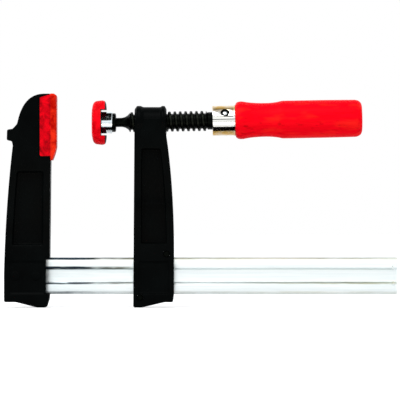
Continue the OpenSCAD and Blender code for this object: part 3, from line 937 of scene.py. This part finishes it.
def make_spindle():
    start, stop = FLARE_END - 0.6, THREAD_END
    rod = thread_rod(start, stop)
    # The thread runs out into a taper at each end.
    envelope = turned(
        "envelope",
        [(start - 1, 0), (start - 1, THREAD_R - 1.7), (start + 0.8, THREAD_R + 0.02),
         (stop - 1.5, THREAD_R + 0.02), (stop, THREAD_R - THREAD_DEPTH - 0.2), (stop, 0)],
    )
    combine(rod, envelope, "INTERSECT")
    meet = math.asin(NECK_R / BALL_R)
    core = []
    steps = 18
    for i in range(steps + 1):
        angle = i * (math.pi - meet) / steps
        core.append((-BALL_R * math.cos(angle), BALL_R * math.sin(angle)))
    steps = 10
    for i in range(steps + 1):
        u = (FLARE_END - NECK_END) * i / steps
        core.append((NECK_END + u, NECK_R + FLARE_R - math.sqrt(FLARE_R**2 - u**2)))
    inside = THREAD_R - THREAD_DEPTH - 0.4
    core += [
        (FLARE_END + 0.2, inside), (THREAD_END - 0.5, inside),
        (THREAD_END - 0.5, 6.2), (THREAD_END - 0.2, 6.5),
    ]
    core += [(FERRULE_START, 6.5), (FERRULE_START, TANG_R), (TANG_END, TANG_R), (TANG_END, 0)]
    spindle = turned("screw_spindle", core, 72)
    join(spindle, rod)
    move(spindle, ON_SPINDLE)
    finished(spindle, "spindle", "spindle", oxide, 28)


def pin_turn():
    """Lays what was turned round X along the cross pin, in the spindle's own place."""
    tilt = Matrix.Rotation(-PIN_ANGLE, 4, "X")
    return Matrix.Translation((PIN_AT, 0, 0)) @ tilt @ Matrix.Rotation(math.pi / 2, 4, "Z")


def make_ferrule():
    radius, sheet = FERRULE_R, 1.2
    start, end = FERRULE_START, HANDLE_START
    profile = [(start, radius - sheet)]
    profile += curve((start, radius - 0.9), (start, radius), (start + 0.9, radius), 5)
    profile += curve((end - 1.6, radius), (end - 0.9, radius), (end - 0.6, radius + 0.5), 4)
    profile += curve((end - 0.6, radius + 0.5), (end, radius + 0.5), (end, radius), 4)[1:]
    profile += [(end, radius - sheet), (start, radius - sheet)]
    ferrule = turned("rolled_ferrule", profile, 128)
    for side in (-1, 1):
        # A punched dimple with a soft edge round each end of the cross pin
        punch = turned(
            "punch",
            [(radius - 0.95, 0), (radius - 0.95, 1.8), (radius - 0.5, 2.9),
             (radius + 0.3, 3.7), (radius + 1, 4.4), (radius + 1, 0)],
            48,
        )
        move(punch, pin_turn() @ Matrix.Rotation(math.pi if side < 0 else 0, 4, "Z"))
        cut(ferrule, punch)
    seam = block("seam", (start - 1, end + 1), (-radius - 2, 0), (-SEAM / 2, SEAM / 2))
    move(seam, Matrix.Rotation(-SEAM_ANGLE, 4, "X"))
    cut(ferrule, seam)
    round_edges(ferrule, 0.12, 2, 35)
    clear_slivers(ferrule)
    move(ferrule, ON_SPINDLE)
    finished(ferrule, "ferrule", "spindle", straw)
    # The dimples round the pin are painted dark: painted shade in the hollow round each end of the pin.
    to_pin = (ON_SPINDLE @ pin_turn()).inverted()

    def in_dimple(centre):
        place = to_pin @ (centre / MM)
        return math.hypot(place.y, place.z) < 3.8 and radius - 1.1 < abs(place.x) < radius - 0.12

    paint(ferrule, oxide, in_dimple)


def make_cross_pin():
    reach, radius = FERRULE_R - 0.45, PIN_R
    end = curve((reach - 0.9, radius), (reach - 0.1, radius), (reach, 0), 8)
    pin = turned("tang_pin", [(-reach, 0)] + [(-u, r) for u, r in reversed(end)][1:] + end, 40)
    move(pin, ON_SPINDLE @ pin_turn())
    finished(pin, "cross_pin", "spindle", bright)


def make_handle():
    start, end, length = HANDLE_START, HANDLE_END, HANDLE_LENGTH
    radius, waist = HANDLE_R, WAIST_R
    waist_at, shoulder = start + 0.24 * length, start + 0.375 * length
    profile = [(start + 1.5, 0), (start + 1.5, TANG_R), (start, TANG_R), (start, radius - 3.6)]
    profile += curve((start, radius - 3.2), (start + 0.2, radius), (start + 4.2, radius), 10)
    profile += curve((start + 6, radius - 0.1), (start + 0.13 * length, waist), (waist_at, waist), 12)
    profile += curve(
        (waist_at, waist), (start + 0.31 * length, waist), (shoulder - 0.8, radius - 0.1), 12
    )[1:]
    profile += [(shoulder + 0.6, radius), (end - 0.3 * length, radius)]
    profile += curve((end - 6, radius - 0.2), (end - 0.2, radius - 0.3), (end, radius - 5.6), 12)
    # The mark of the lathe's centre in the handle's end
    profile += [(end + 0.15, 1.6), (end + 0.1, 1.45), (end - 1.4, 0.2), (end - 1.5, 0)]
    handle = turned("turned_handle", profile, 128)
    move(handle, ON_SPINDLE)
    finished(handle, "handle", "spindle", lacquer, 50)


make_rail()
make_fixed_jaw()
make_rivet("jaw_rivet_front")
make_rivet("jaw_rivet_back")
make_fixed_jaw_cap()
make_sliding_arm()
make_grip_pin("grip_pin_upper")
make_grip_pin("grip_pin_lower")
make_spindle()
make_ferrule()
make_cross_pin()
make_handle()
make_pressure_plate()
make_pressure_cap()
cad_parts["ball_ring"].material_slots[0].material = bright

# ---------- stage, light and camera ----------

floor_size = 12
start_clean()
bpy.ops.mesh.primitive_plane_add(size=floor_size, location=(0.1, 0, FOOT * MM))
floor = bpy.context.object
floor.name = "floor"
# A light table: white opal acrylic with light coming up through it, which only the camera sees
opal, opal_tree, opal_shader = new_material(
    "white_opal_acrylic", Base_Color=colour("DADADA"), Roughness=0.9, Specular_IOR_Level=0.1,
    Emission_Color=colour("FFFFFF"),
)
seen_by = add(opal_tree, "LightPath")
lit = add(opal_tree, "Math", {1: 0.45}, {0: (seen_by, "Is Camera Ray")}, operation="MULTIPLY")
link(opal_tree, lit, "Value", opal_shader, "Emission Strength")
floor.data.materials.append(opal)

world = bpy.data.worlds.new("studio")
bpy.context.scene.world = world
world.use_nodes = True
sky = world.node_tree
sky.nodes.clear()
# A wall of light runs all round, and ends in a dimmer ceiling; what shows behind the clamp is plain white.
toward = add(sky, "TexCoord")
direction = add(sky, "SeparateXYZ", links={"Vector": (toward, "Generated")})
wall = add(
    sky, "MapRange", {"From Min": 0.72, "From Max": 0.92, "To Min": 1.15, "To Max": 0.6},
    {"Value": (direction, "Z")},
)
room = add(sky, "Background", links={"Strength": (wall, "Result")})
backdrop = add(sky, "Background", {"Color": (1, 1, 1, 1), "Strength": 1.0})
room.inputs["Color"].default_value = (0.96, 0.985, 1.0, 1)
path = add(sky, "LightPath")
seen = add(sky, "MixShader", links={0: (path, "Is Camera Ray"), 1: (room, 0), 2: (backdrop, 0)})
add(sky, "OutputWorld", links={"Surface": (seen, 0)})


def area_light(name, place, aim, width, height, power):
    """A soft box that shines from one point towards another."""
    data = bpy.data.lights.new(name, "AREA")
    data.shape = "RECTANGLE"
    data.size = width
    data.size_y = height
    data.energy = power
    lamp = bpy.data.objects.new(name, data)
    bpy.context.scene.collection.objects.link(lamp)
    lamp.location = place
    lamp.rotation_euler = (Vector(aim) - Vector(place)).to_track_quat("-Z", "Y").to_euler()


def reflected_card(name, low, high, material):
    """A flat card, level in X and sloping between two (y, z) edges, that only reflections see."""
    start_clean()
    bpy.ops.mesh.primitive_plane_add(size=1)
    card = bpy.context.object
    card.name = name
    slope = Vector((0, high[1] - low[1], high[2] - low[2]))
    card.scale = (high[0] - low[0], slope.length, 1)
    card.rotation_euler = (math.atan2(slope.z, slope.y), 0, 0)
    card.location = (Vector(low) + Vector(high)) / 2
    bpy.ops.object.transform_apply(location=True, rotation=True, scale=True)
    for ray in ("camera", "diffuse", "shadow"):
        setattr(card, "visible_" + ray, False)
    card.data.materials.append(material)


felt = new_material("black_felt", Base_Color=colour("050505"), Roughness=1.0, Specular_IOR_Level=0.0)[0]
glow = new_material("warm_strip_light", Emission_Color=colour("FFEBD8"), Emission_Strength=2.4)[0]
# Black flags draw the dark lines on bright round metal, and a strip light the soft line along the handle.
reflected_card("low_flag", (0.01, -0.058, -0.06), (0.25, -0.008, -0.06), felt)
reflected_card("collar_flag", (0.022, -0.12, 0.045), (0.052, 0.02, 0.045), felt)
reflected_card("front_strip", (-0.06, -0.14, -0.075), (0.32, -0.16, -0.045), glow)

middle = (0.106, 0, -0.057)
area_light("top_box", (-0.3, -0.6, 1.1), middle, 1.2, 0.8, 12)

VIEW_WIDTH = 0.2968
DISTANCE = 3.0
camera_data = bpy.data.cameras.new("camera")
camera_data.lens = camera_data.sensor_width * DISTANCE / VIEW_WIDTH
camera = bpy.data.objects.new("camera", camera_data)
bpy.context.scene.collection.objects.link(camera)
camera.location = (0.1062, -DISTANCE, -0.0574)
camera.rotation_euler = (math.radians(90), 0, 0)
bpy.context.scene.camera = camera
bpy.context.scene.view_settings.view_transform = "Standard"
